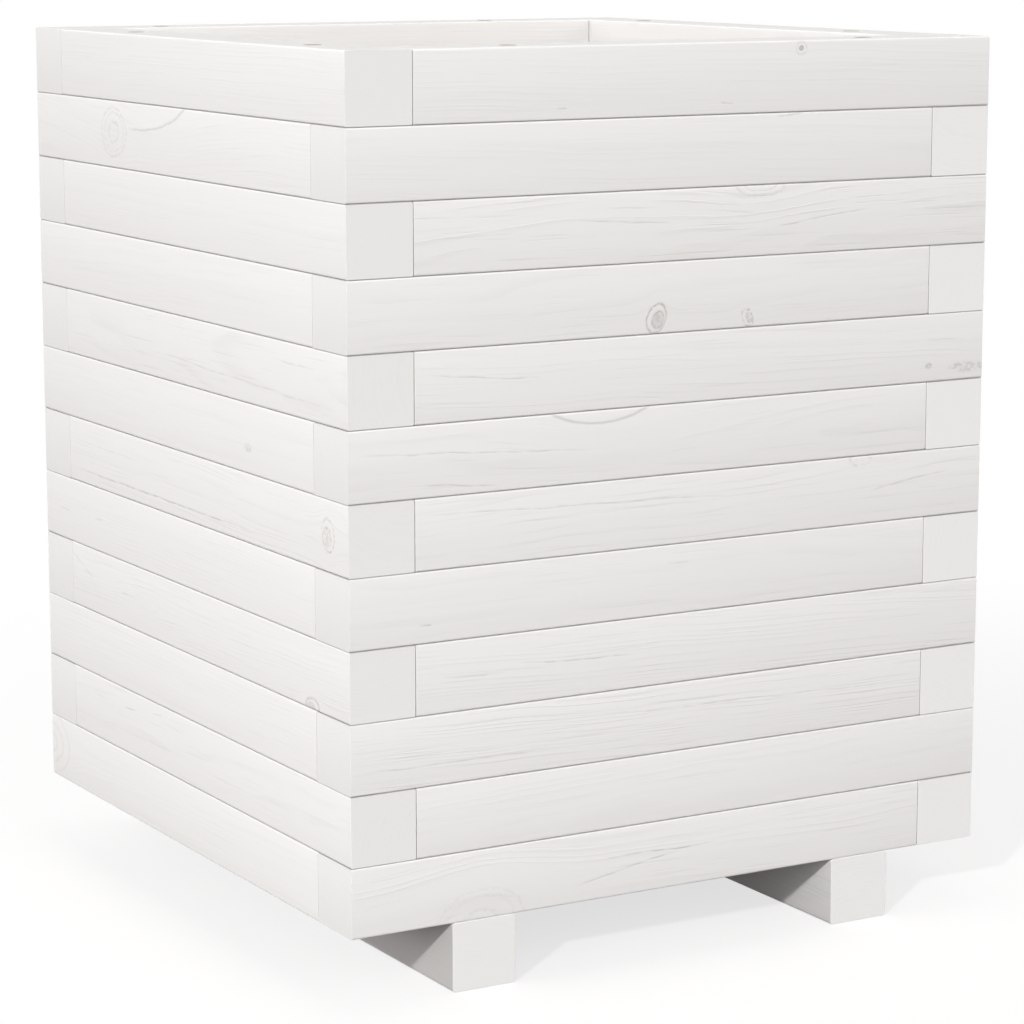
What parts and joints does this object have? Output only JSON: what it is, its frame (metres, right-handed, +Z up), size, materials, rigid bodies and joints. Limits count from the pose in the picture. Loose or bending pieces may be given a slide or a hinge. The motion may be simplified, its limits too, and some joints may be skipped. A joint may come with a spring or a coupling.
{
  "type": "wooden planter",
  "caption": "Square planter box of stacked, lapped and screwed timber beams on two cross feet, with a slatted floor, open at the top.",
  "frame": {"origin": "on the ground, under the middle of the box", "axes": "+X to the right along the front, +Y from the front to the back along the feet, +Z up"},
  "size_m": [0.4, 0.4, 0.494],
  "materials": {
    "painted_pine": "planed pine under an opaque white satin paint, grain and knots showing faintly",
    "floor_pine": "sawn pine under one thin coat of the same white paint",
    "zinc_screw": "zinc-plated steel"
  },
  "bodies": {
    "root": {"course_01_front": "painted_pine", "course_01_right": "painted_pine", "course_01_back": "painted_pine", "course_01_left": "painted_pine", "course_02_front": "painted_pine", "course_02_right": "painted_pine", "course_02_back": "painted_pine", "course_02_left": "painted_pine", "course_03_front": "painted_pine", "course_03_right": "painted_pine", "course_03_back": "painted_pine", "course_03_left": "painted_pine", "course_04_front": "painted_pine", "course_04_right": "painted_pine", "course_04_back": "painted_pine", "course_04_left": "painted_pine", "course_05_front": "painted_pine", "course_05_right": "painted_pine", "course_05_back": "painted_pine", "course_05_left": "painted_pine", "course_06_front": "painted_pine", "course_06_right": "painted_pine", "course_06_back": "painted_pine", "course_06_left": "painted_pine", "course_07_front": "painted_pine", "course_07_right": "painted_pine", "course_07_back": "painted_pine", "course_07_left": "painted_pine", "course_08_front": "painted_pine", "course_08_right": "painted_pine", "course_08_back": "painted_pine", "course_08_left": "painted_pine", "course_09_front": "painted_pine", "course_09_right": "painted_pine", "course_09_back": "painted_pine", "course_09_left": "painted_pine", "course_10_front": "painted_pine", "course_10_right": "painted_pine", "course_10_back": "painted_pine", "course_10_left": "painted_pine", "course_11_front": "painted_pine", "course_11_right": "painted_pine", "course_11_back": "painted_pine", "course_11_left": "painted_pine", "course_12_front": "painted_pine", "course_12_right": "painted_pine", "course_12_back": "painted_pine", "course_12_left": "painted_pine", "left_foot": "painted_pine", "right_foot": "painted_pine", "floor_board_1": "floor_pine", "floor_board_2": "floor_pine", "floor_board_3": "floor_pine", "floor_board_4": "floor_pine", "beam_screws": "zinc_screw", "foot_screws": "zinc_screw", "floor_screws": "zinc_screw"}
  },
  "joints": []
}
